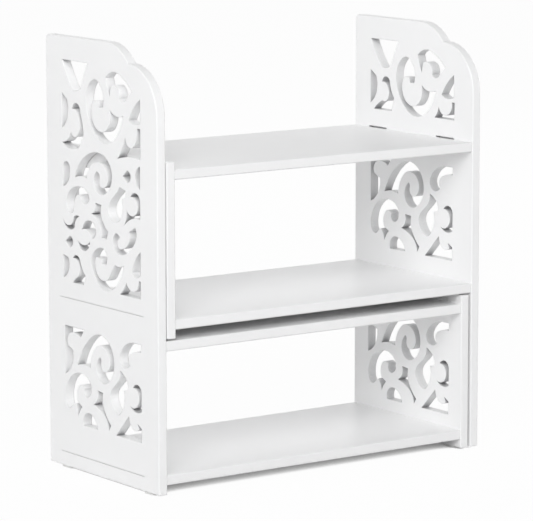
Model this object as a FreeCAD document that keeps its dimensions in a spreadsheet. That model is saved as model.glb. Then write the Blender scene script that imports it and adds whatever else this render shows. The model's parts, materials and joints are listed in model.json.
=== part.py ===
import FreeCAD, Part
import math
import os

import Sketcher

# Desktop shelf of two nested board units that slide apart to one side.
# +Z is up, -Y is the front, and the origin is under the middle of the closed shelf.
# Lengths are in millimetres.

DIMENSIONS = {
    "board": 10.0,
    "width": 400.0,
    "depth": 200.0,
    "inner_depth": 183.5,
    "bottom_rise": 9.0,
    "lower_bay": 123.0,
    "inner_lip": 9.0,
    "lap_gap": 1.5,
    "upper_bay": 137.0,
    "crest_lip": 8.0,
    "crest_rise": 118.5,
    "left_gap": 1.0,
    "right_gap": 3.0,
    "ride_gap": 0.3,
    "shelf_setback": 1.0,
    "ogee_radius": 50.0,
    "ogee_drop": 18.5,
    "corner_round": 3.0,
    "arris": 0.8,
    "glide_length": 16.0,
    "glide_width": 8.0,
    "glide_height": 2.0,
    "glide_corner": 2.0,
    "glide_front_inset": 13.0,
    "glide_back_inset": 20.0,
    "tongue_width": 20.0,
    "tongue_length": 14.0,
    "tongue_thickness": 4.0,
    "tongue_bevel": 0.6,
    "tongue_seat": 6.0,
    "tongue_clearance": 0.05,
    "tongue_end_room": 0.5,
    "tongue_inset": 71.0,
    "tongue_pitch": 44.0,
    "tab_length": 29.5,
    "tab_depth": 5.0,
    "tab_thickness": 9.0,
    "tab_front_inset": 31.0,
    "tab_back_inset": 25.0,
    "tab_clearance": 0.25,
    "mortise_headroom": 1.3,
    "window_stile": 22.0,
    "window_sill": 20.0,
    "window_drop": 20.0,
    "frame_sill": 10.0,
    "frame_head": 2.0,
    "frame_stile": 10.0,
    "fret_front_margin": 30.0,
    "left_fret_back_margin": 30.0,
    "right_fret_back_margin": 25.5,
    "inner_fret_front_margin": 20.5,
    "inner_fret_back_margin": 24.75,
    "bay_fret_gap": 12.5,
    "upper_fret_gap": 19.5,
    "low_fret_rise": 47.5,
    "low_fret_lap": 3.5,
    "middle_fret_rise": 17.5,
    "crest_fret_rise": 19.0,
    "crest_fret_drop": 23.5,
    "fret_tolerance": 0.6,
    "score_width": 0.5,
    "score_depth": 0.6,
    "score_front_inset": 25.5,
    "score_back_inset": 22.0,
    "score_low_rise": 14.8,
    "score_high_rise": 174.0,
}

# Fretwork cut-outs, drawn on a field that is scaled to fit the panel without being distorted.
# A point is (across, up): across from the middle of the field, towards the back of the shelf.
# An outline is its first point and then its stretches, each going on from the one before:
# one point is a straight edge, two are an arc (through, end), more are a smooth run of arcs.
DRAWN_WIDTH = 140.0

BAY_HEIGHT = 98.0
BAY_FRET = {
    "corner_hook": [
        (70, 48), [(70, 98)], [(33, 98)], [(40, 89)],
        [(47, 92.5), (55, 93.5), (62, 90), (65, 84), (63.5, 78)],
        [(54, 74)], [(56, 60), (70, 48)],
    ],
    "great_scroll": [
        (46, 60.5),
        [(38, 76), (24, 90), (4, 96.5), (-13, 90), (-21, 75), (-18, 59.5),
         (-4, 48.5), (7.5, 52.5), (11, 62), (8.5, 70.5), (4.5, 74.5)],
        [(1.5, 69), (2, 64.5), (-3.5, 60.5), (-10.5, 63.5), (-13, 72),
         (-8.5, 82.5), (3, 86.5), (14.5, 80), (20.5, 70), (22, 60.5)],
        [(34, 62.5), (46, 60.5)],
    ],
    "front_hook": [
        (-70, 98), [(-56, 98)],
        [(-44, 94.5), (-35, 87), (-31.5, 79), (-35.5, 72.5), (-44, 71), (-50, 74.5)],
        [(-47.5, 79), (-49, 84), (-57, 89), (-70, 90)], [(-70, 98)],
    ],
    "side_scroll": [
        (51.5, 20),
        [(55.5, 17), (61.5, 13.5), (67.5, 17), (69.5, 27), (65, 40), (54, 49.5), (41, 52.5),
         (29, 49.5), (21, 42), (21.5, 33.5), (28, 29), (33.5, 32.5), (33.5, 38)],
        [(38.5, 41), (45, 37), (47.5, 30), (46, 22.5)], [(38, 18.5)],
        [(42.5, 14), (45.5, 7.5)], [(47.5, 14), (51.5, 20)],
    ],
    "star": [
        (10, 40), [(-0.5, 39)], [(0, 30), (-4.5, 19), (-14.5, 8)], [(-11, 2)],
        [(-7, 12), (3, 20), (17, 24.5)], [(10.5, 30), (10, 40)],
    ],
    "serpent": [
        (-32, 66.5), [(-39, 63), (-44, 58), (-46.5, 50)], [(-38.5, 48)],
        [(-39.5, 37.5), (-33, 23.5)],
        [(-27, 20.5), (-19, 26), (-13, 37), (-19, 47), (-28.5, 55), (-32, 66.5)],
    ],
    "front_ring": [
        (-55, 53), [(-61, 57), (-70, 50)], [(-70, 31)], [(-60, 29), (-49, 35)],
        [(-59, 33), (-65.5, 42), (-62, 50.5), (-55, 53)],
    ],
    "half_moon": [
        (36, 0), [(34, 10.5), (25, 14.5), (16, 10.5), (9.5, 0)], [(36, 0)],
    ],
    "front_corner": [
        (-24, 0), [(-47.5, 23.5)], [(-51, 15), (-59, 10.5), (-65, 12)],
        [(-62.5, 18)], [(-70, 14)], [(-70, 0)], [(-24, 0)],
    ],
}

CREST_HEIGHT = 76.0
CREST_FRET = {
    "crest_triangle": [
        (70, 76), [(22.5, 76)], [(30, 62), (35.5, 49.5)], [(42, 46.5), (50, 46.5)],
        [(61, 60), (70, 76)],
    ],
    "oval_scroll": [
        (-41, 29),
        [(-36, 17), (-27, 6), (-10, -1), (6, 3), (19, 16), (26.5, 35), (22, 53),
         (9, 61), (-2, 53), (-6, 41)],
        [(-4.5, 34)], [(3, 34)], [(4, 39.5)], [(13.5, 39.5)],
        [(16, 30), (12, 17), (0, 9.5), (-11, 13.5), (-17, 23), (-17, 33)],
        [(-28, 27.5), (-41, 29)],
    ],
    "ear_hook": [
        (-10, 64), [(-17, 69), (-26, 71), (-38, 68), (-56, 54.5)], [(-48, 47.5)],
        [(-42, 42.5), (-34.5, 45.5)], [(-33.5, 53), (-26, 57.5), (-19, 56.5)], [(-17, 46)],
        [(-13, 55), (-10, 64)],
    ],
    "front_leaf": [
        (-71, 48), [(-71, 24)], [(-60, 22.5), (-50.5, 26)], [(-59, 38), (-71, 48)],
    ],
    "back_sliver": [
        (71, 43), [(61.5, 37)], [(59.5, 23), (71, 7)], [(71, 43)],
    ],
}

# Wings of the crest where a shelf passes below it.
SHELF_WINGS = {
    "back_wing": [
        (51, 31), [(45, 37), (37.5, 32.5)], [(35, 23), (30, 15)], [(34, 1)], [(65, 1)],
        [(58, 7), (50, 11)], [(43, 11), (39, 19), (42, 28.5), (51, 31)],
    ],
    "front_wing": [
        (-39, 1), [(-43, 6), (-46, 13)], [(-51, 6.5), (-60, 6), (-66, 11), (-67.5, 19)],
        [(-72, 19)], [(-72, 1)], [(-39, 1)],
    ],
}

# Wings of the crest where the middle group runs up to it.
OPEN_WINGS = {
    "back_wing": [
        (52, 28), [(46, 34), (37, 26)], [(33, 15), (31, 4)], [(38, -9)], [(50, -12.5), (71, -7)],
        [(60, -3), (54.5, 5)], [(48, -0.5), (40, 5), (38.5, 16), (44, 26.5), (52, 28)],
    ],
    "front_wing": [
        (-30, -14), [(-38.5, -3), (-44.5, 9)], [(-50, 0), (-57, -0.5), (-63, 7), (-65, 19)],
        [(-71, 19)], [(-71, -11)], [(-52, -10), (-30, -14)],
    ],
}

MIDDLE_HEIGHT = 137.0
MIDDLE_FRET = {
    "arch_scroll": [
        (48, 108),
        [(40, 122), (26, 132.5), (8, 137), (-10, 132.5), (-20, 119), (-17, 105.5),
         (-3, 96), (9, 100), (13.5, 109.5), (7.5, 118)],
        [(2.5, 112), (3, 106), (-3, 102.5), (-10, 106.5), (-12.5, 115), (-7, 124.5),
         (6, 127.5), (19, 122), (26, 109)],
        [(37, 110.5), (48, 108)],
    ],
    "back_leaf": [
        (70, 116), [(63, 122.5), (57, 115)], [(59.5, 104), (70, 97)], [(70, 116)],
    ],
    "front_drop": [
        (-39.5, 118.5), [(-47, 124.5)], [(-53.5, 119.5), (-47.5, 113)], [(-39.5, 118.5)],
    ],
    "front_sliver": [
        (-70, 131), [(-70, 108)], [(-61.5, 120), (-70, 131)],
    ],
    "side_scroll": [
        (50, 74),
        [(57, 71), (63, 75), (64, 83), (57, 94), (42, 99.5), (28, 96.5), (21.5, 89.5),
         (25, 84), (33, 84.5), (36.5, 90)],
        [(43, 91), (48, 85), (50, 74)],
    ],
    "crescent": [
        (40.5, 69), [(47, 65), (49, 57.5)], [(60, 54.5), (71, 65)],
        [(60, 58.5), (53.5, 62), (51, 67.5)], [(45, 70), (40.5, 69)],
    ],
    "serpent": [
        (-33.5, 107), [(-45, 104)], [(-44.5, 98)], [(-37, 95.5)],
        [(-39, 85), (-32.5, 73)],
        [(-22, 72), (-12, 79.5), (-17, 91), (-28, 101), (-33.5, 107)],
    ],
    "front_ring": [
        (-53, 99.5), [(-59.5, 104), (-70, 95)], [(-70, 79)], [(-57, 78.5), (-41, 69.5)],
        [(-45, 77), (-46, 86)], [(-56, 81.5), (-65, 87), (-62, 97), (-53, 99.5)],
    ],
    "star": [
        (11, 86.5), [(-0.5, 85.5)], [(0.5, 76), (-4.5, 67), (-12.5, 60.5)],
        [(-9.5, 52)], [(0, 53)], [(3, 65), (10, 72), (19, 75)], [(11.5, 79), (11, 86.5)],
    ],
    "ring_scroll": [
        (36, 56.5), [(30, 64.5), (21.5, 67), (12.5, 62), (10.5, 55.5), (17, 49.5)],
        [(25, 57.5), (36, 56.5)],
    ],
    "under_crescent": [
        (43.5, 45), [(36, 37), (27, 37.5), (21, 46.5)], [(31, 41.5), (43.5, 45)],
    ],
    "back_drop": [
        (66.5, 42), [(58.5, 47.5)], [(52.5, 42.5), (58.5, 36.5)], [(66.5, 42)],
    ],
    "back_sliver": [
        (71, 27.5), [(61.5, 25.5)], [(60.5, 14), (71, 4)], [(71, 27.5)],
    ],
    "back_wing": [
        (53, 26), [(47, 29.5), (39.5, 24)], [(35.5, 16.5), (29.5, 10)], [(33, 1)], [(53, 1)],
        [(45, 8), (40.5, 13), (43.5, 22), (53, 26)],
    ],
    "oval_scroll": [
        (-40, 30),
        [(-35, 18), (-20, 4.5), (-6, 0.5), (6, 5), (16, 17), (19.5, 27), (14, 37),
         (2, 42), (-8, 39), (-10.5, 33)],
        [(-9, 27)], [(-1, 27)], [(0, 32)], [(10, 32.5)],
        [(11.5, 24), (7, 14.5), (-3, 10), (-13, 13.5), (-19, 21), (-24, 28.5)],
        [(-31, 27.5), (-40, 30)],
    ],
    "front_leaf": [
        (-70, 47), [(-70, 23.5)], [(-61, 21), (-54.5, 25)], [(-60.5, 38), (-70, 47)],
    ],
    "front_wing": [
        (-33, 0.5), [(-39, 6), (-44.5, 13.5)],
        [(-50, 8), (-58, 7), (-64.5, 11), (-66.5, 18)], [(-70, 18)], [(-70, 0.5)],
        [(-33, 0.5)],
    ],
    "front_scroll": [
        (-50, 64.5), [(-60.5, 70)],
        [(-64, 63), (-58, 52), (-45, 42.5), (-31, 40.5), (-22, 46.5), (-21, 55),
         (-27, 60.5), (-33.5, 56.5)],
        [(-29, 52.5), (-30, 47.5), (-39, 46.5), (-49, 53), (-50, 64.5)],
    ],
}

# Levels above the floor and places along the shelf, as formulas of the sheet.
PANEL_FOOT = "sizes.glide_height"
BOTTOM_SHELF = "(sizes.glide_height + sizes.bottom_rise)"
LOWER_DECK = f"({BOTTOM_SHELF} + sizes.board + sizes.lower_bay)"
LOWER_DECK_TOP = f"({LOWER_DECK} + sizes.board)"
INNER_PANEL_TOP = f"({LOWER_DECK_TOP} + sizes.inner_lip)"
MIDDLE_SHELF = f"({INNER_PANEL_TOP} + sizes.lap_gap)"
MIDDLE_SHELF_TOP = f"({MIDDLE_SHELF} + sizes.board)"
UPPER_SHELF = f"({MIDDLE_SHELF_TOP} + sizes.upper_bay)"
UPPER_SHELF_TOP = f"({UPPER_SHELF} + sizes.board)"
CREST_TOP = f"({UPPER_SHELF_TOP} + sizes.crest_rise)"
FRAME_FOOT = f"({LOWER_DECK_TOP} + sizes.ride_gap + sizes.glide_height)"
FRAME_TOP = f"({UPPER_SHELF_TOP} + sizes.crest_lip)"

FRONT = "(-sizes.depth / 2)"
LEFT_TALL = "(-sizes.width / 2)"
RIGHT_TALL = "(sizes.width / 2 - sizes.board)"
LEFT_INNER = f"({LEFT_TALL} + sizes.board + sizes.left_gap)"
RIGHT_INNER = f"({RIGHT_TALL} - sizes.right_gap - sizes.board)"

SLOT_LENGTH = "(sizes.tongue_length + 2 * sizes.tongue_clearance)"
SLOT_HEIGHT = "(sizes.tongue_thickness + 2 * sizes.tongue_clearance)"
SLOT_RISE = f"((sizes.board - {SLOT_HEIGHT}) / 2)"
TONGUE_PLACES = {
    "front": "sizes.tongue_inset",
    "back": "(sizes.tongue_inset + sizes.tongue_pitch)",
}
FRET_FRONT = "sizes.fret_front_margin"
LEFT_FRET_BACK = "(sizes.depth - sizes.left_fret_back_margin)"
RIGHT_FRET_BACK = "(sizes.depth - sizes.right_fret_back_margin)"
INNER_FRET_FRONT = "sizes.inner_fret_front_margin"
INNER_FRET_BACK = "(sizes.inner_depth - sizes.inner_fret_back_margin)"
TAB_PLACES = {
    "front": "sizes.tab_front_inset",
    "back": "(sizes.depth - sizes.tab_back_inset - sizes.tab_length)",
}

SAME = 1e-6

doc = FreeCAD.newDocument("desktop_shelf")
sheet = doc.addObject("Spreadsheet::Sheet", "sizes")
for row, (alias, size) in enumerate(DIMENSIONS.items(), start=1):
    sheet.set(f"A{row}", alias.replace("_", " "))
    sheet.set(f"B{row}", str(size))
    sheet.setAlias(f"B{row}", alias)
doc.recompute()


def measure(formula):
    """Value of a formula of the sheet, in millimetres."""
    return float(sheet.evalExpression(formula))


def new_body(label, across, front, foot):
    """Empty body whose corner stands at the three formulas."""
    body = doc.addObject("PartDesign::Body", label)
    body.Label = label
    body.setExpression("Placement.Base.x", across)
    body.setExpression("Placement.Base.y", front)
    body.setExpression("Placement.Base.z", foot)
    return body


def new_sketch(body, name, role, offset=None):
    """Sketch on one of the body's own planes, moved off it by a formula."""
    sketch = body.newObject("Sketcher::SketchObject", f"{body.Label}_{name}")
    plane = next(feature for feature in body.Origin.OriginFeatures if feature.Role == role)
    sketch.AttachmentSupport = (plane, [""])
    sketch.MapMode = "FlatFace"
    if offset is not None:
        sketch.setExpression("AttachmentOffset.Base.z", offset)
    return sketch


def bind(sketch, name, formula, *constraint):
    """Dimension of a sketch that follows a formula."""
    index = sketch.addConstraint(Sketcher.Constraint(*constraint, measure(formula)))
    sketch.renameConstraint(index, name)
    sketch.setExpression(f"Constraints.{name}", formula)


def place_point(sketch, name, edge, end, across, up):
    """Tie one end of an edge to a place; a missing formula puts it on the axis."""
    if across is None:
        sketch.addConstraint(Sketcher.Constraint("PointOnObject", edge, end, -2))
    else:
        bind(sketch, f"{name}_across", across, "DistanceX", -1, 1, edge, end)
    if up is None:
        sketch.addConstraint(Sketcher.Constraint("PointOnObject", edge, end, -1))
    else:
        bind(sketch, f"{name}_up", up, "DistanceY", -1, 1, edge, end)


def add_rectangle(sketch, name, across, up, length, height):
    """Rectangle from its lower left corner, with both sides from formulas."""
    left = 0.0 if across is None else measure(across)
    low = 0.0 if up is None else measure(up)
    right = left + measure(length)
    high = low + measure(height)
    corners = [(left, low), (right, low), (right, high), (left, high)]
    first = sketch.GeometryCount
    for start, end in zip(corners, corners[1:] + corners[:1]):
        sketch.addGeometry(Part.LineSegment(FreeCAD.Vector(*start), FreeCAD.Vector(*end)))
    for side in range(4):
        following = (side + 1) % 4
        sketch.addConstraint(Sketcher.Constraint("Coincident", first + side, 2, first + following, 1))
        direction = "Vertical" if side % 2 else "Horizontal"
        sketch.addConstraint(Sketcher.Constraint(direction, first + side))
    place_point(sketch, name, first, 1, across, up)
    bind(sketch, f"{name}_length", length, "DistanceX", first, 1, first, 2)
    bind(sketch, f"{name}_height", height, "DistanceY", first + 1, 1, first + 1, 2)


def pad(body, sketch, name, length):
    """Slab of a sketch, as thick as the formula."""
    slab = body.newObject("PartDesign::Pad", f"{body.Label}_{name}")
    slab.Profile = sketch
    slab.setExpression("Length", length)
    doc.recompute()
    return slab


def pocket(body, sketch, name, depth=None, forward=False):
    """Cut along a sketch's normal or against it, right through without a depth."""
    before = body.Shape.Volume
    cut = body.newObject("PartDesign::Pocket", f"{body.Label}_{name}")
    cut.Profile = sketch
    cut.Reversed = forward
    if depth is None:
        cut.Type = "ThroughAll"
    else:
        cut.setExpression("Length", depth)
    doc.recompute()
    if body.Shape.Volume > before - SAME:
        raise RuntimeError(f"{cut.Name} cuts nothing")
    return cut


def edge_names(shape, wanted):
    """Names of the edges that the test accepts."""
    return [f"Edge{index}" for index, edge in enumerate(shape.Edges, start=1) if wanted(edge)]


def lies_along(edge, direction):
    """Whether a straight edge runs along an axis, given as 0, 1 or 2 for X, Y and Z."""
    box = edge.BoundBox
    reach = [box.XLength, box.YLength, box.ZLength]
    reach.pop(direction)
    return max(reach) < SAME


def is_flat(edge):
    """Whether an edge lies in a plane across X."""
    return edge.BoundBox.XLength < SAME


def bevel_edges(body, base, name, size, wanted):
    """Chamfer the edges of a feature that the test accepts."""
    chamfer = body.newObject("PartDesign::Chamfer", f"{body.Label}_{name}")
    chamfer.Base = (base, edge_names(base.Shape, wanted))
    chamfer.setExpression("Size", size)
    doc.recompute()
    return chamfer


def round_edges(body, base, name, radius, wanted):
    """Round the edges of a feature that the test accepts."""
    fillet = body.newObject("PartDesign::Fillet", f"{body.Label}_{name}")
    fillet.Base = (base, edge_names(base.Shape, wanted))
    fillet.setExpression("Radius", radius)
    doc.recompute()
    return fillet


def add_ogee_outline(sketch, height):
    """Side of a tall panel: straight foot and back, and a stepped double curve at the top front."""
    depth = measure("sizes.depth")
    high = measure(height)
    radius = measure("sizes.ogee_radius")
    drop = measure("sizes.ogee_drop")
    run = math.sqrt(drop * (2 * radius - drop))
    foot_front = FreeCAD.Vector(0, 0)
    foot_back = FreeCAD.Vector(depth, 0)
    top_back = FreeCAD.Vector(depth, high)
    top_front = FreeCAD.Vector(radius + run, high)
    upper_centre = FreeCAD.Vector(radius + run, high - radius)
    lower_centre = FreeCAD.Vector(radius, high - drop - radius)
    shoulder = FreeCAD.Vector(0, high - drop - radius)
    normal = FreeCAD.Vector(0, 0, 1)
    upper_turn = math.atan2(radius - drop, -run)
    foot, back, top = sketch.addGeometry([
        Part.LineSegment(foot_front, foot_back),
        Part.LineSegment(foot_back, top_back),
        Part.LineSegment(top_back, top_front),
    ])
    upper, lower = sketch.addGeometry([
        Part.ArcOfCircle(Part.Circle(upper_centre, normal, radius), math.pi / 2, upper_turn),
        Part.ArcOfCircle(Part.Circle(lower_centre, normal, radius), math.pi / 2, math.pi),
    ])
    front = sketch.addGeometry(Part.LineSegment(shoulder, foot_front))
    sketch.addConstraint([
        Sketcher.Constraint("Coincident", foot, 1, -1, 1),
        Sketcher.Constraint("Coincident", foot, 2, back, 1),
        Sketcher.Constraint("Coincident", back, 2, top, 1),
        Sketcher.Constraint("Coincident", upper, 2, lower, 1),
        Sketcher.Constraint("Coincident", front, 2, foot, 1),
        Sketcher.Constraint("Horizontal", foot),
        Sketcher.Constraint("Vertical", back),
        Sketcher.Constraint("Horizontal", top),
        Sketcher.Constraint("Vertical", front),
        Sketcher.Constraint("Tangent", top, 2, upper, 1),
        Sketcher.Constraint("Tangent", lower, 2, front, 1),
        Sketcher.Constraint("Vertical", lower, 3, lower, 1),
    ])
    bind(sketch, "panel_depth", "sizes.depth", "DistanceX", foot, 1, foot, 2)
    bind(sketch, "panel_height", height, "DistanceY", back, 1, back, 2)
    bind(sketch, "upper_radius", "sizes.ogee_radius", "Radius", upper)
    bind(sketch, "lower_radius", "sizes.ogee_radius", "Radius", lower)
    bind(sketch, "upper_drop", "sizes.ogee_drop", "DistanceY", upper, 2, top, 1)


def panel_slab(label, across, foot, depth, height, tall):
    """Plain upright board with a rounded back top corner and bevelled arrises."""
    body = new_body(label, across, FRONT, foot)
    sketch = new_sketch(body, "outline", "YZ_Plane")
    if tall:
        add_ogee_outline(sketch, height)
    else:
        add_rectangle(sketch, "side", None, None, depth, height)
    slab = pad(body, sketch, "slab", "sizes.board")
    back = measure(depth)
    high = measure(height)

    def is_back_corner(edge):
        at = edge.CenterOfMass
        return lies_along(edge, 0) and at.y > back - SAME and at.z > high - SAME

    corner = round_edges(body, slab, "back_corner", "sizes.corner_round", is_back_corner)
    bevel_edges(body, corner, "arrises", "sizes.arris", is_flat)
    return body


def outline_edges(outline, place):
    """Edges of one closed cut-out, drawn point by point through the placing function."""
    edges = []
    start = place(outline[0])
    for stretch in outline[1:]:
        points = [start] + [place(point) for point in stretch]
        if len(stretch) == 1:
            edges.append(Part.LineSegment(*points))
        elif len(stretch) == 2:
            edges.append(Part.Arc(*points))
        else:
            curve = Part.BSplineCurve()
            curve.interpolate(points)
            edges.extend(curve.toBiArcs(measure("sizes.fret_tolerance")))
        start = points[-1]
    return edges


def cut_fretwork(body, name, groups, drawn_height, front, back, low, high):
    """Cut groups of outlines through a panel, fitted between its front and back places and two levels."""
    across_scale = measure(f"{back} - {front}") / DRAWN_WIDTH
    up_scale = measure(f"{high} - {low}") / drawn_height
    scale = min(across_scale, up_scale)
    sketch = new_sketch(body, name, "YZ_Plane")
    sketch.setExpression("AttachmentOffset.Base.x", f"({front} + {back}) / 2")
    sketch.setExpression("AttachmentOffset.Base.y", f"({low} + {high}) / 2")

    def place(point):
        return FreeCAD.Vector(point[0], point[1] - drawn_height / 2) * scale

    for group in groups:
        for outline in group.values():
            sketch.addGeometry(outline_edges(outline, place))
    pocket(body, sketch, f"{name}_cut", forward=True)


def cut_window(body, across, up, length, height):
    """Plain opening through a panel."""
    sketch = new_sketch(body, "window", "YZ_Plane")
    add_rectangle(sketch, "window", across, up, length, height)
    pocket(body, sketch, "window_cut", forward=True)


def inner_face(left_hand):
    """Plane offset of the face that looks into the shelf, and whether a cut there runs forward."""
    return ("sizes.board", False) if left_hand else (None, True)


def slot_panel(body, name, left_hand, level):
    """Two blind slots for tongues in the inner face, halfway up a shelf's thickness."""
    offset, forward = inner_face(left_hand)
    sketch = new_sketch(body, name, "YZ_Plane", offset)
    for place, inset in TONGUE_PLACES.items():
        front = f"{inset} - sizes.tongue_clearance"
        add_rectangle(sketch, place, front, f"{level} + {SLOT_RISE}", SLOT_LENGTH, SLOT_HEIGHT)
    pocket(body, sketch, f"{name}_cut", "sizes.tongue_seat + sizes.tongue_end_room", forward)


def mortise_panel(body, left_hand, level):
    """Two blind mortises in the inner face for the tabs of the upper shelf, open above each tab."""
    offset, forward = inner_face(left_hand)
    sketch = new_sketch(body, "mortises", "YZ_Plane", offset)
    length = "sizes.tab_length + 2 * sizes.tab_clearance"
    height = "sizes.board + sizes.mortise_headroom"
    for place, inset in TAB_PLACES.items():
        add_rectangle(sketch, place, f"{inset} - sizes.tab_clearance", level, length, height)
    pocket(body, sketch, "mortises_cut", "sizes.tab_depth + sizes.tab_clearance", forward)


def shelf_slab(label, across, level, length, depth):
    """Plain shelf board, set back from the panels' front, with bevelled long edges."""
    body = new_body(label, across, f"{FRONT} + sizes.shelf_setback", level)
    sketch = new_sketch(body, "outline", "XY_Plane")
    add_rectangle(sketch, "plan", None, None, length, f"{depth} - sizes.shelf_setback")
    slab = pad(body, sketch, "slab", "sizes.board")
    bevel_edges(body, slab, "arrises", "sizes.arris", lambda edge: lies_along(edge, 0))
    return body


def slot_shelf(body, length):
    """Two blind slots for tongues in each end of a shelf."""
    depth = "sizes.tongue_width - sizes.tongue_seat + sizes.tongue_end_room"
    for end, offset, forward in (("left", None, True), ("right", length, False)):
        sketch = new_sketch(body, f"{end}_slots", "YZ_Plane", offset)
        for place, inset in TONGUE_PLACES.items():
            front = f"{inset} - sizes.tongue_clearance - sizes.shelf_setback"
            add_rectangle(sketch, place, front, SLOT_RISE, SLOT_LENGTH, SLOT_HEIGHT)
        pocket(body, sketch, f"{end}_slots_cut", depth, forward)


def add_tabs(body, length):
    """Tabs that stand out of both ends of a shelf, flush with its underside."""
    sketch = new_sketch(body, "tabs", "XY_Plane")
    full_length = f"{length} + 2 * sizes.tab_depth"
    for place, inset in TAB_PLACES.items():
        front = f"{inset} - sizes.shelf_setback"
        add_rectangle(sketch, place, "-sizes.tab_depth", front, full_length, "sizes.tab_length")
    pad(body, sketch, "tab_slab", "sizes.tab_thickness")


def tongue(label, across, inset, level):
    """Flat loose peg along X with bevelled ends."""
    rise = "(sizes.board - sizes.tongue_thickness) / 2"
    body = new_body(label, across, f"{FRONT} + {inset}", f"{level} + {rise}")
    sketch = new_sketch(body, "plan", "XY_Plane")
    add_rectangle(sketch, "plan", None, None, "sizes.tongue_width", "sizes.tongue_length")
    slab = pad(body, sketch, "slab", "sizes.tongue_thickness")
    bevel_edges(body, slab, "ends", "sizes.tongue_bevel", lambda edge: lies_along(edge, 1))
    return body


def tongues(shelf, left_face, right_face, level):
    """Four pegs of a shelf, each seated partly in its panel and partly in the shelf's end."""
    starts = {
        "left": f"{left_face} - sizes.tongue_seat",
        "right": f"{right_face} + sizes.tongue_seat - sizes.tongue_width",
    }
    return [
        tongue(f"tongue_{shelf}_{end}_{place}", start, inset, level)
        for end, start in starts.items()
        for place, inset in TONGUE_PLACES.items()
    ]


def glide(label, across, inset, foot):
    """Flat pad under a panel with its corners cut off."""
    middle = f"{across} + (sizes.board - sizes.glide_width) / 2"
    body = new_body(label, middle, f"{FRONT} + {inset}", foot)
    sketch = new_sketch(body, "plan", "XY_Plane")
    add_rectangle(sketch, "plan", None, None, "sizes.glide_width", "sizes.glide_length")
    slab = pad(body, sketch, "slab", "sizes.glide_height")
    bevel_edges(body, slab, "corners", "sizes.glide_corner", lambda edge: lies_along(edge, 2))
    return body


def glides(panel, across, depth, panel_foot):
    """Two pads under a panel, near its front and its back."""
    insets = {
        "front": "sizes.glide_front_inset",
        "back": f"({depth} - sizes.glide_back_inset - sizes.glide_length)",
    }
    foot = f"{panel_foot} - sizes.glide_height"
    return [glide(f"glide_{panel}_{place}", across, inset, foot) for place, inset in insets.items()]


def above_foot(level):
    """Level measured from the foot of the panels that stand on the floor."""
    return f"({level} - {PANEL_FOOT})"


def cut_crest(body, wings, back):
    """Top group of a tall panel, with the wings that its foot needs."""
    low = f"({above_foot(UPPER_SHELF_TOP)} + sizes.crest_fret_rise)"
    high = f"({above_foot(CREST_TOP)} - sizes.crest_fret_drop)"
    groups = [CREST_FRET, wings]
    cut_fretwork(body, "crest", groups, CREST_HEIGHT, FRET_FRONT, back, low, high)


def left_tall_panel():
    """Tall panel of the fixed unit, carved from near its foot to its crest."""
    height = above_foot(CREST_TOP)
    body = panel_slab("left_tall_panel", LEFT_TALL, PANEL_FOOT, "sizes.depth", height, tall=True)
    low = "sizes.low_fret_rise"
    high = f"({above_foot(LOWER_DECK)} + sizes.low_fret_lap)"
    cut_fretwork(body, "low", [BAY_FRET], BAY_HEIGHT, FRET_FRONT, LEFT_FRET_BACK, low, high)
    low = f"({above_foot(MIDDLE_SHELF_TOP)} + sizes.middle_fret_rise)"
    high = f"({low} + sizes.upper_bay)"
    cut_fretwork(body, "middle", [MIDDLE_FRET], MIDDLE_HEIGHT, FRET_FRONT, LEFT_FRET_BACK, low, high)
    cut_crest(body, OPEN_WINGS, LEFT_FRET_BACK)
    slot_panel(body, "bottom_slots", True, above_foot(BOTTOM_SHELF))
    slot_panel(body, "deck_slots", True, above_foot(LOWER_DECK))
    sketch = new_sketch(body, "scores", "YZ_Plane")
    length = "sizes.depth - sizes.score_front_inset - sizes.score_back_inset"
    for name in ("low", "high"):
        level = f"sizes.score_{name}_rise - sizes.score_width / 2"
        add_rectangle(sketch, name, "sizes.score_front_inset", level, length, "sizes.score_width")
    pocket(body, sketch, "scores_cut", "sizes.score_depth", forward=True)
    return body


def right_tall_panel():
    """Tall panel of the sliding unit, carved above its middle shelf and open below it."""
    height = above_foot(CREST_TOP)
    body = panel_slab("right_tall_panel", RIGHT_TALL, PANEL_FOOT, "sizes.depth", height, tall=True)
    low = f"({above_foot(MIDDLE_SHELF_TOP)} + sizes.upper_fret_gap)"
    high = f"({above_foot(UPPER_SHELF)} - sizes.upper_fret_gap)"
    cut_fretwork(body, "bay", [BAY_FRET], BAY_HEIGHT, FRET_FRONT, RIGHT_FRET_BACK, low, high)
    cut_crest(body, SHELF_WINGS, RIGHT_FRET_BACK)
    window_height = f"{above_foot(MIDDLE_SHELF)} - sizes.window_drop - sizes.window_sill"
    window_length = "sizes.depth - 2 * sizes.window_stile"
    cut_window(body, "sizes.window_stile", "sizes.window_sill", window_length, window_height)
    slot_panel(body, "middle_slots", False, above_foot(MIDDLE_SHELF))
    mortise_panel(body, False, above_foot(UPPER_SHELF))
    return body


def right_inner_panel():
    """Short carved panel of the fixed unit."""
    height = above_foot(INNER_PANEL_TOP)
    body = panel_slab("right_inner_panel", RIGHT_INNER, PANEL_FOOT, "sizes.inner_depth", height, tall=False)
    low = f"({above_foot(BOTTOM_SHELF)} + sizes.board + sizes.bay_fret_gap)"
    high = f"({above_foot(LOWER_DECK)} - sizes.bay_fret_gap)"
    cut_fretwork(body, "bay", [BAY_FRET], BAY_HEIGHT, INNER_FRET_FRONT, INNER_FRET_BACK, low, high)
    slot_panel(body, "bottom_slots", False, above_foot(BOTTOM_SHELF))
    slot_panel(body, "deck_slots", False, above_foot(LOWER_DECK))
    return body


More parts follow.
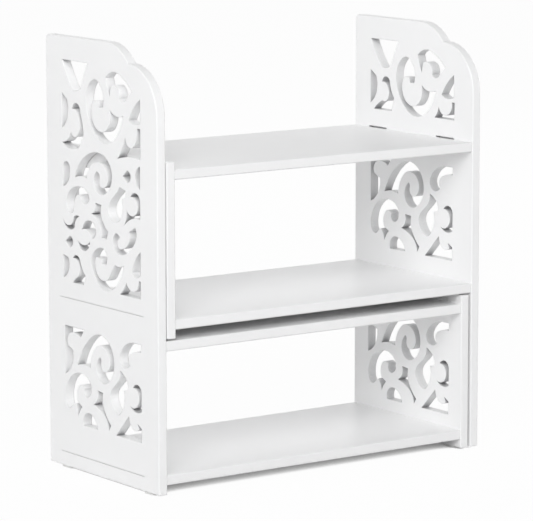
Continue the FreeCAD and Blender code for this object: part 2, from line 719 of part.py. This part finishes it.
def left_inner_frame():
    """Short open frame of the sliding unit, which rides on the lower deck."""
    height = f"{FRAME_TOP} - {FRAME_FOOT}"
    body = panel_slab("left_inner_frame", LEFT_INNER, FRAME_FOOT, "sizes.inner_depth", height, tall=False)
    sill = f"({MIDDLE_SHELF_TOP} + sizes.frame_sill - {FRAME_FOOT})"
    head = f"({UPPER_SHELF} - sizes.frame_head - {FRAME_FOOT})"
    window_length = "sizes.inner_depth - 2 * sizes.frame_stile"
    cut_window(body, "sizes.frame_stile", sill, window_length, f"{head} - {sill}")
    slot_panel(body, "middle_slots", True, f"{MIDDLE_SHELF} - {FRAME_FOOT}")
    mortise_panel(body, True, f"{UPPER_SHELF} - {FRAME_FOOT}")
    return body


FIXED_LEFT = f"({LEFT_TALL} + sizes.board)"
FIXED_LENGTH = f"({RIGHT_INNER} - {FIXED_LEFT})"
SLIDING_LEFT = f"({LEFT_INNER} + sizes.board)"
SLIDING_LENGTH = f"({RIGHT_TALL} - {SLIDING_LEFT})"

upper_shelf = shelf_slab("upper_shelf", SLIDING_LEFT, UPPER_SHELF, SLIDING_LENGTH, "sizes.depth")
add_tabs(upper_shelf, SLIDING_LENGTH)
middle_shelf = shelf_slab("middle_shelf", SLIDING_LEFT, MIDDLE_SHELF, SLIDING_LENGTH, "sizes.depth")
slot_shelf(middle_shelf, SLIDING_LENGTH)
lower_deck = shelf_slab("lower_deck", FIXED_LEFT, LOWER_DECK, FIXED_LENGTH, "sizes.inner_depth")
slot_shelf(lower_deck, FIXED_LENGTH)
bottom_shelf = shelf_slab("bottom_shelf", FIXED_LEFT, BOTTOM_SHELF, FIXED_LENGTH, "sizes.inner_depth")
slot_shelf(bottom_shelf, FIXED_LENGTH)

parts = [left_tall_panel(), right_tall_panel(), right_inner_panel(), left_inner_frame()]
parts += [upper_shelf, middle_shelf, lower_deck, bottom_shelf]
parts += tongues("bottom_shelf", FIXED_LEFT, RIGHT_INNER, BOTTOM_SHELF)
parts += tongues("lower_deck", FIXED_LEFT, RIGHT_INNER, LOWER_DECK)
parts += tongues("middle_shelf", SLIDING_LEFT, RIGHT_TALL, MIDDLE_SHELF)
parts += glides("left_tall_panel", LEFT_TALL, "sizes.depth", PANEL_FOOT)
parts += glides("right_tall_panel", RIGHT_TALL, "sizes.depth", PANEL_FOOT)
parts += glides("right_inner_panel", RIGHT_INNER, "sizes.inner_depth", PANEL_FOOT)
parts += glides("left_inner_frame", LEFT_INNER, "sizes.inner_depth", FRAME_FOOT)
doc.recompute()

failed = [item.Name for item in doc.Objects if {"Invalid", "Error"} & set(item.State)]
if failed:
    raise RuntimeError(f"failed features: {failed}")
for part in parts:
    if part.Shape.isNull() or not part.Shape.isValid() or len(part.Shape.Solids) != 1:
        raise RuntimeError(f"{part.Label} is not one valid solid")

os.makedirs("parts", exist_ok=True)
for part in parts:
    part.Shape.exportStep(f"parts/{part.Label}.step")
    print(f"{part.Label}: {part.Shape.Volume / 1000:.2f} cm3")
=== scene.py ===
import json
import math

import bpy
from mathutils import Matrix, Vector


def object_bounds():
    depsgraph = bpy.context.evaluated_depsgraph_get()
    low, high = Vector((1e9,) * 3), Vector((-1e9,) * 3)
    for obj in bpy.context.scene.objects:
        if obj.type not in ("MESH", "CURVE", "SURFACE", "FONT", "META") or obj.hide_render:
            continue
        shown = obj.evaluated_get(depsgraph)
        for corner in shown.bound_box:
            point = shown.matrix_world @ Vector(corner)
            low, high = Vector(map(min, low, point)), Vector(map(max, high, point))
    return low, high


# Desktop shelf: finishes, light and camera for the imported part.
# Lengths are in metres in the part's own frame: +Z up, -Y the front.

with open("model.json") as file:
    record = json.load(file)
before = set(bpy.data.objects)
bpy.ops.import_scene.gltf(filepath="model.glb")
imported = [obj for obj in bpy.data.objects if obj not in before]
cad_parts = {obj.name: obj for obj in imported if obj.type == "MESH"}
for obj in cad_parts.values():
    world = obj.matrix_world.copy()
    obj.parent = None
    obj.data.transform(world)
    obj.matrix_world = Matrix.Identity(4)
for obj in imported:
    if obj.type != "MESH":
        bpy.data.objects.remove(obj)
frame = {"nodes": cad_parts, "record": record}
frame_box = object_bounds()

WHITE = (1.0, 1.0, 1.0, 1.0)

# Noise patterns: scales are in swings per metre, and most of a pattern lies in its usual range.
USUAL_RANGE = (0.3, 0.7)
FULL_RANGE = (0.0, 1.0)
NOISE_DETAIL = 3.0

# Satin white lacquer on smooth board.
LACQUER_COLOURS = ((0.896, 0.896, 0.899, 1.0), (0.905, 0.905, 0.907, 1.0))
CLOUD_SCALE = 14.0
LACQUER_ROUGHNESS = (0.30, 0.36)
SMEAR_SCALE = 60.0
PEEL_SCALE = 900.0
PEEL_DETAIL = 2.0
PEEL_STRENGTH = 0.02
PEEL_HEIGHT = 0.0001
ARRIS_RADIUS = 0.0013
ARRIS_SAMPLES = 8

# Walls of the cut-outs get painted shade: the more closed in, the darker. A free face has an openness
# of 1.
PAINTED_WALL_SHADE_COLOUR = (0.36, 0.36, 0.37, 1.0)
WALL_REACH = 0.03
WALL_SAMPLES = 8
FULL_SHADE_OPENNESS = 0.12
UNSHADED_OPENNESS = 0.58
# The two right panels take a copy of the white board with deeper painted shade on their cut walls.
RIGHT_PANELS_UNSHADED_OPENNESS = 0.95
DEEPER_SHADED_PANELS = ("right_tall_panel", "right_inner_panel")

# Raw beech of the hidden tongues.
BEECH_COLOURS = ((0.62, 0.45, 0.28, 1.0), (0.76, 0.60, 0.41, 1.0))
BEECH_ROUGHNESS = 0.7
BEECH_GRAIN_SCALE = 700.0
BEECH_GRAIN_STRETCH = (0.1, 1.0, 1.0)
BEECH_BUMP_STRENGTH = 0.2
BEECH_BUMP_HEIGHT = 0.0002

# Matte plastic of the glides.
GLIDE_COLOURS = ((0.70, 0.70, 0.69, 1.0), (0.76, 0.76, 0.75, 1.0))
GLIDE_ROUGHNESS = (0.5, 0.7)
GLIDE_SCUFF_SCALE = 200.0
GLIDE_GRAIN_SCALE = 1500.0
GLIDE_BUMP_STRENGTH = 0.15
GLIDE_BUMP_HEIGHT = 0.0002

# White floor, darker where the shelf closes it in from above: a painted shadow over a faint real one.
FLOOR_REACH = 30.0
FLOOR_DROP = 0.0002
FLOOR_COLOUR = (0.80, 0.80, 0.80, 1.0)
PAINTED_SHADOW_REACH = 0.3
PAINTED_SHADOW_SAMPLES = 64
PAINTED_SHADOW_OPENNESS = (0.005, 0.09)
PAINTED_SHADOW_STRENGTHS = (0.12, 1.0)
SHOWN_WHITE = 0.97

# Studio surround: dim overhead, brighter towards the horizon and a little brighter behind the shelf.
SURROUND_COLOUR = (0.993, 0.997, 1.0, 1.0)
BRIGHT_SIDE = (0.0, 0.12, -0.99)
OVERHEAD_GLOW = 0.14
UNDERFOOT_GLOW = 2.25

# Soft square lamps: place, side and power in watts.
LAMPS = {
    "key": ((-2.25, -2.55, 2.35), 2.4, 100.0),
    "side_fill": ((2.9, 0.8, 0.8), 2.0, 34.0),
    "back_fill": ((-0.1, 3.0, 1.1), 1.2, 10.0),
}

# Camera solved from the straight edges of the shelf in the photo.
PHOTO_WIDTH = 533
FOCAL_PIXELS = 3342.9
SENSOR_MILLIMETRES = 36.0
CAMERA_PLACE = Vector((-1.9680, -2.7539, 0.7390))
CAMERA_YAW = math.radians(35.56)
CAMERA_PITCH = math.radians(8.99)
CAMERA_ROLL = math.radians(-0.08)


def fill(tree, node, **inputs):
    """Set a node's inputs by name: a socket is linked, and anything else is written."""
    for name, value in inputs.items():
        socket = node.inputs[name.replace("_", " ")]
        if isinstance(value, bpy.types.NodeSocket):
            tree.links.new(value, socket)
        else:
            socket.default_value = value


def add_node(tree, kind, **inputs):
    """Node of a kind with its inputs filled."""
    node = tree.nodes.new(kind)
    fill(tree, node, **inputs)
    return node


def empty_tree(owner):
    """Cleared node tree of a material or of the world."""
    owner.use_nodes = True
    owner.node_tree.nodes.clear()
    return owner.node_tree


def calculate(tree, operation, *values):
    """Result of a math operation on value sockets."""
    node = tree.nodes.new("ShaderNodeMath")
    node.operation = operation
    for slot, value in enumerate(values):
        tree.links.new(value, node.inputs[slot])
    return node.outputs["Value"]


def map_range(tree, value, source, target=FULL_RANGE, interpolation="LINEAR"):
    """Value whose source range is spread over a target range and held at its ends."""
    node = add_node(tree, "ShaderNodeMapRange", Value=value)
    node.interpolation_type = interpolation
    fill(tree, node, From_Min=source[0], From_Max=source[1], To_Min=target[0], To_Max=target[1])
    return node.outputs["Result"]


def noise(tree, place, scale, detail=NOISE_DETAIL):
    """Noise pattern of so many swings per metre."""
    return add_node(tree, "ShaderNodeTexNoise", Vector=place, Scale=scale, Detail=detail).outputs["Fac"]


def spread_noise(tree, place, scale, target=FULL_RANGE):
    """Noise pattern whose usual range is spread over a target range."""
    return map_range(tree, noise(tree, place, scale), USUAL_RANGE, target)


def blend_colours(tree, amount, first, second):
    """Colour between two, by an amount socket."""
    node = tree.nodes.new("ShaderNodeMix")
    node.data_type = "RGBA"
    fill(tree, node, Factor=amount, A=first, B=second)
    return node.outputs["Result"]


def mix_shaders(tree, amount, first, second):
    """Shader between two, by an amount."""
    node = add_node(tree, "ShaderNodeMixShader", Fac=amount)
    tree.links.new(first, node.inputs[1])
    tree.links.new(second, node.inputs[2])
    return node.outputs["Shader"]


def white_board(name, shade_free_openness):
    """Satin white lacquer on smooth board: faint cloudiness, orange peel, rubbed arrises and painted
    shade on the cut walls.

    A cut wall as open as the given openness keeps the lacquer's colour, and a more closed one gets
    darker painted shade.
    """
    material = bpy.data.materials.new(name)
    tree = empty_tree(material)
    coordinates = tree.nodes.new("ShaderNodeTexCoord")
    place = coordinates.outputs["Object"]
    lacquer = blend_colours(tree, spread_noise(tree, place, CLOUD_SCALE), *LACQUER_COLOURS)

    # Painted shade on the cut walls: darker where their surroundings close them in; faces across X keep
    # the lacquer's colour.
    surroundings = add_node(tree, "ShaderNodeAmbientOcclusion", Distance=WALL_REACH)
    surroundings.samples = WALL_SAMPLES
    surroundings.only_local = True
    unshaded = map_range(tree, surroundings.outputs["AO"], (FULL_SHADE_OPENNESS, shade_free_openness))
    normal = add_node(tree, "ShaderNodeSeparateXYZ", Vector=coordinates.outputs["Normal"])
    on_face = calculate(tree, "ABSOLUTE", normal.outputs["X"])
    unshaded_or_face = calculate(tree, "MAXIMUM", unshaded, on_face)

    arris = add_node(tree, "ShaderNodeBevel", Radius=ARRIS_RADIUS)
    arris.samples = ARRIS_SAMPLES
    peel = add_node(
        tree,
        "ShaderNodeBump",
        Strength=PEEL_STRENGTH,
        Distance=PEEL_HEIGHT,
        Height=noise(tree, place, PEEL_SCALE, PEEL_DETAIL),
        Normal=arris.outputs["Normal"],
    )
    shader = add_node(
        tree,
        "ShaderNodeBsdfPrincipled",
        Base_Color=blend_colours(tree, unshaded_or_face, PAINTED_WALL_SHADE_COLOUR, lacquer),
        Roughness=spread_noise(tree, place, SMEAR_SCALE, LACQUER_ROUGHNESS),
        Normal=peel.outputs["Normal"],
    )
    add_node(tree, "ShaderNodeOutputMaterial", Surface=shader.outputs["BSDF"])
    return material


def tongue_wood():
    """Raw beech with a fine grain along the piece."""
    material = bpy.data.materials.new("tongue_wood")
    tree = empty_tree(material)
    place = tree.nodes.new("ShaderNodeTexCoord").outputs["Object"]
    stretch = add_node(tree, "ShaderNodeMapping", Vector=place, Scale=BEECH_GRAIN_STRETCH)
    grain = spread_noise(tree, stretch.outputs["Vector"], BEECH_GRAIN_SCALE)
    bump = add_node(
        tree, "ShaderNodeBump", Strength=BEECH_BUMP_STRENGTH, Distance=BEECH_BUMP_HEIGHT, Height=grain
    )
    shader = add_node(
        tree,
        "ShaderNodeBsdfPrincipled",
        Base_Color=blend_colours(tree, grain, *BEECH_COLOURS),
        Roughness=BEECH_ROUGHNESS,
        Normal=bump.outputs["Normal"],
    )
    add_node(tree, "ShaderNodeOutputMaterial", Surface=shader.outputs["BSDF"])
    return material


def pale_glide():
    """Off-white matte plastic with a moulded grain."""
    material = bpy.data.materials.new("pale_glide")
    tree = empty_tree(material)
    place = tree.nodes.new("ShaderNodeTexCoord").outputs["Object"]
    grain = noise(tree, place, GLIDE_GRAIN_SCALE)
    scuffs = spread_noise(tree, place, GLIDE_SCUFF_SCALE)
    bump = add_node(
        tree, "ShaderNodeBump", Strength=GLIDE_BUMP_STRENGTH, Distance=GLIDE_BUMP_HEIGHT, Height=grain
    )
    shader = add_node(
        tree,
        "ShaderNodeBsdfPrincipled",
        Base_Color=blend_colours(tree, scuffs, *GLIDE_COLOURS),
        Roughness=map_range(tree, grain, USUAL_RANGE, GLIDE_ROUGHNESS),
        Normal=bump.outputs["Normal"],
    )
    add_node(tree, "ShaderNodeOutputMaterial", Surface=shader.outputs["BSDF"])
    return material


def dress_nodes():
    """Give each node the finish of its slot, and the two right panels a copy of the white board with
    deeper painted shade on their cut walls.
    """
    finishes = {
        "white_board": white_board("white_board", UNSHADED_OPENNESS),
        "tongue_wood": tongue_wood(),
        "pale_glide": pale_glide(),
    }
    # Copy of the white board with deeper painted shade on the cut walls, for the two right panels.
    deeper_shaded_board = white_board("white_board_deeper_painted_shade", RIGHT_PANELS_UNSHADED_OPENNESS)
    for row in frame["record"]["subparts"]:
        node = frame["nodes"][row["node"]]
        finish = finishes[row["material_slot"]]
        if row["node"] in DEEPER_SHADED_PANELS:
            finish = deeper_shaded_board
        node.data.materials.clear()
        node.data.materials.append(finish)


def seen_directly(tree):
    """1 for a ray that shows the surface in the picture, in a reflection or through glass."""
    path = tree.nodes.new("ShaderNodeLightPath").outputs
    mirrored = calculate(tree, "MAXIMUM", path["Is Glossy Ray"], path["Is Transmission Ray"])
    return calculate(tree, "MAXIMUM", path["Is Camera Ray"], mirrored)


def add_floor():
    """Wide white floor with a painted shadow where the shelf closes it in, over a faint real shadow."""
    bpy.ops.mesh.primitive_plane_add(size=FLOOR_REACH, location=(0, 0, frame_box[0].z - FLOOR_DROP))
    floor = bpy.context.object
    floor.name = "floor"
    material = bpy.data.materials.new("floor")
    tree = empty_tree(material)
    paper = add_node(tree, "ShaderNodeBsdfDiffuse", Color=FLOOR_COLOUR)
    # Painted shadow: the floor's white glow dims where the shelf closes it in from above.
    above = add_node(tree, "ShaderNodeAmbientOcclusion", Distance=PAINTED_SHADOW_REACH)
    above.samples = PAINTED_SHADOW_SAMPLES
    painted_contact_shadow = map_range(tree, above.outputs["AO"], PAINTED_SHADOW_OPENNESS, PAINTED_SHADOW_STRENGTHS)
    glow = add_node(tree, "ShaderNodeEmission", Color=WHITE, Strength=painted_contact_shadow)
    shown = mix_shaders(tree, SHOWN_WHITE, paper.outputs["BSDF"], glow.outputs["Emission"])
    surface = mix_shaders(tree, seen_directly(tree), paper.outputs["BSDF"], shown)
    add_node(tree, "ShaderNodeOutputMaterial", Surface=surface)
    floor.data.materials.append(material)


def add_world():
    """White studio surround: plain light on the shelf, white where it shows."""
    world = bpy.data.worlds.new("surround")
    bpy.context.scene.world = world
    tree = empty_tree(world)
    direction = tree.nodes.new("ShaderNodeTexCoord").outputs["Generated"]
    facing = tree.nodes.new("ShaderNodeVectorMath")
    facing.operation = "DOT_PRODUCT"
    facing.inputs[1].default_value = BRIGHT_SIDE
    tree.links.new(direction, facing.inputs[0])
    glow = map_range(
        tree, facing.outputs["Value"], (-1.0, 1.0), (OVERHEAD_GLOW, UNDERFOOT_GLOW), "SMOOTHSTEP"
    )
    light = add_node(tree, "ShaderNodeBackground", Color=SURROUND_COLOUR, Strength=glow)
    white = add_node(tree, "ShaderNodeBackground", Color=WHITE, Strength=1.0)
    seen = seen_directly(tree)
    surface = mix_shaders(tree, seen, light.outputs["Background"], white.outputs["Background"])
    add_node(tree, "ShaderNodeOutputWorld", Surface=surface)


def add_lamps():
    """Lamps turned to the middle of the shelf."""
    middle = (frame_box[0] + frame_box[1]) / 2
    for name, (place, side, power) in LAMPS.items():
        data = bpy.data.lights.new(name, "AREA")
        data.shape = "SQUARE"
        data.size = side
        data.energy = power
        lamp = bpy.data.objects.new(name, data)
        lamp.location = place
        lamp.rotation_euler = (middle - Vector(place)).to_track_quat("-Z", "Y").to_euler()
        bpy.context.scene.collection.objects.link(lamp)


def add_camera():
    """Camera that sees the shelf as the photo does."""
    data = bpy.data.cameras.new("camera")
    data.sensor_width = SENSOR_MILLIMETRES
    data.lens = FOCAL_PIXELS / PHOTO_WIDTH * SENSOR_MILLIMETRES
    data.clip_end = 2 * FLOOR_REACH
    camera = bpy.data.objects.new("camera", data)
    turn = Matrix.Rotation(-CAMERA_YAW, 4, "Z")
    tilt = Matrix.Rotation(math.pi / 2 - CAMERA_PITCH, 4, "X")
    roll = Matrix.Rotation(CAMERA_ROLL, 4, "Z")
    camera.matrix_world = Matrix.Translation(CAMERA_PLACE) @ turn @ tilt @ roll
    bpy.context.scene.collection.objects.link(camera)
    bpy.context.scene.camera = camera


dress_nodes()
add_floor()
add_world()
add_lamps()
add_camera()
bpy.context.scene.view_settings.view_transform = "Standard"
